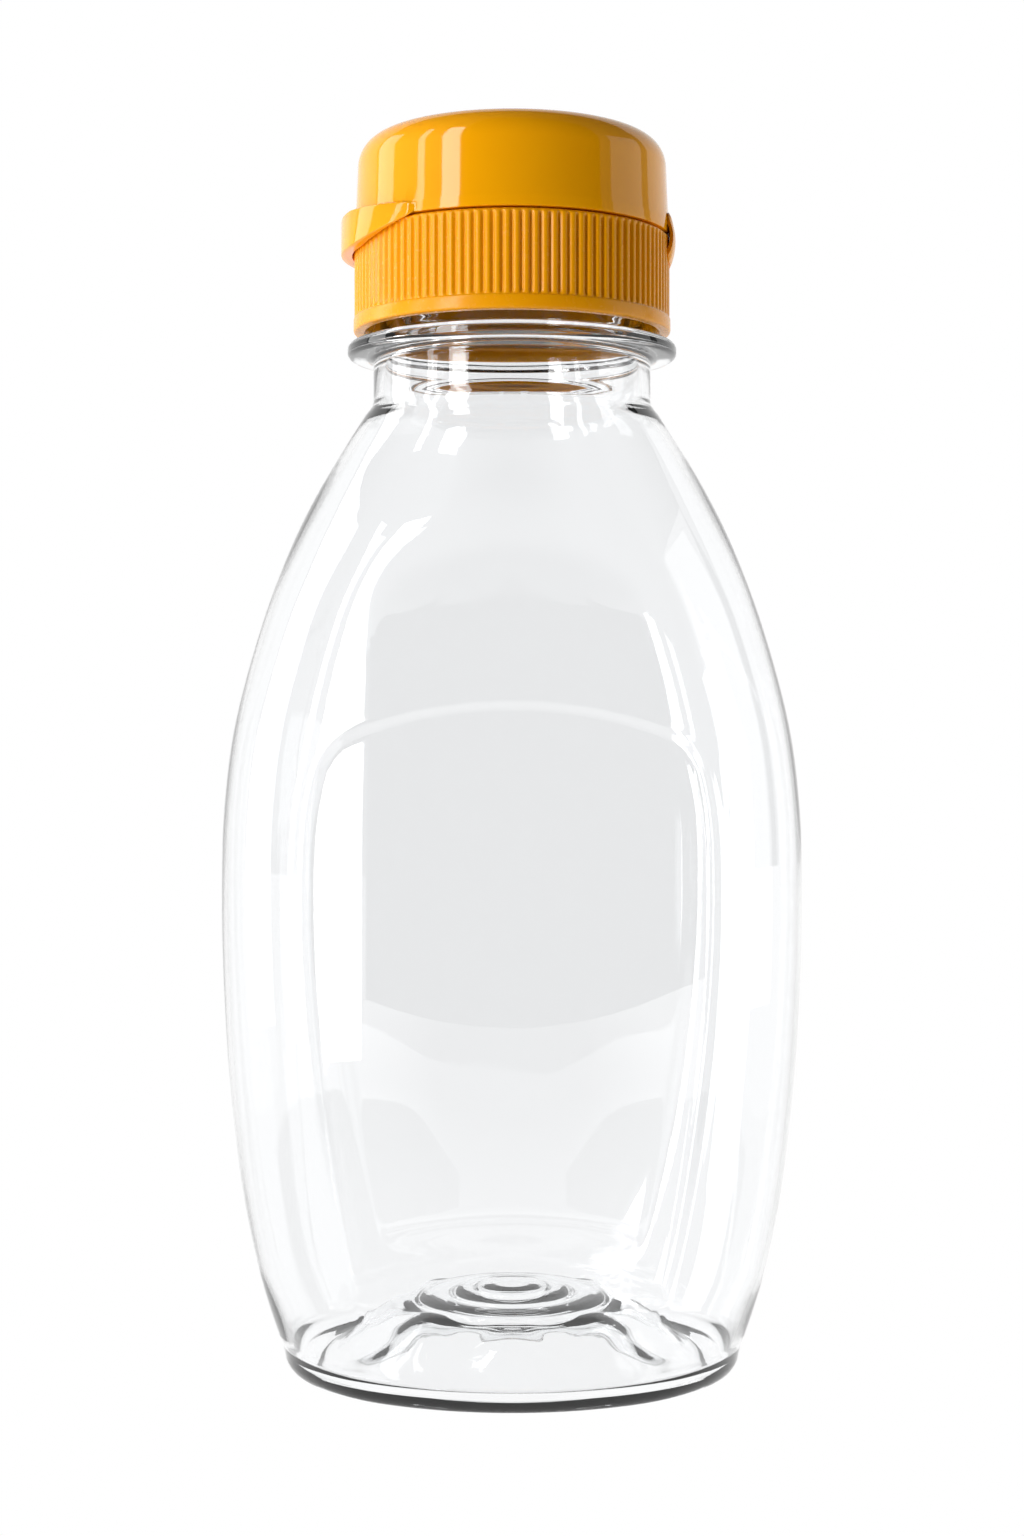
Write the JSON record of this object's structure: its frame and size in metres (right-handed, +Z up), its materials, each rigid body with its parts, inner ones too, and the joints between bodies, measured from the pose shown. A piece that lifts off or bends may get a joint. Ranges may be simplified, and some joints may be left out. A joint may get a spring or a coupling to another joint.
{
  "type": "honey squeeze bottle",
  "caption": "Clear oval squeeze bottle with a recessed label face, fluted push-up base, threaded neck and a screw-on flip-top cap with a self-closing valve.",
  "frame": {"origin": "centre of the foot, on the surface the bottle stands on", "axes": "+Z up along the neck's axis; the broad label faces look along -Y (front) and +Y (back); the lid hinges on the +X side and its thumb tab is on the -X side"},
  "size_m": [0.0772, 0.0544, 0.1641],
  "materials": {
    "clear_pet": "clear, glossy blown PET",
    "amber_cap": "satin moulded polypropylene, yellow-orange",
    "amber_lid": "polished polypropylene, yellow-orange",
    "natural_plastic": "natural polypropylene",
    "clear_silicone": "translucent silicone rubber",
    "liner_foam": "white foamed polyethylene"
  },
  "bodies": {
    "bottle": {"bottle": "clear_pet"},
    "liner": {"seal_liner": "liner_foam"},
    "cap": {"cap_base": "amber_cap", "valve_retainer": "natural_plastic", "silicone_valve": "clear_silicone", "living_hinge": "amber_cap"},
    "lid": {"flip_lid": "amber_lid"}
  },
  "joints": [
    {"name": "cap_lift", "type": "slide", "parent": "bottle", "child": "liner", "axis": [0, 0, 1], "range_m": [0, 0.0064]},
    {"name": "cap_turn", "type": "hinge", "parent": "liner", "child": "cap", "pos_m": [0, 0, 0.1423], "axis": [0, 0, 1], "range_deg": [0, 540]},
    {"name": "lid_hinge", "type": "hinge", "parent": "cap", "child": "lid", "pos_m": [0.0215, 0, 0.1502], "axis": [0, 1, 0], "range_deg": [0, 150], "deforming": ["living_hinge"]}
  ],
  "couplings": [
    {"joint": "cap_lift", "follows": "cap_turn", "m_per_rad": 0.00067375}
  ]
}
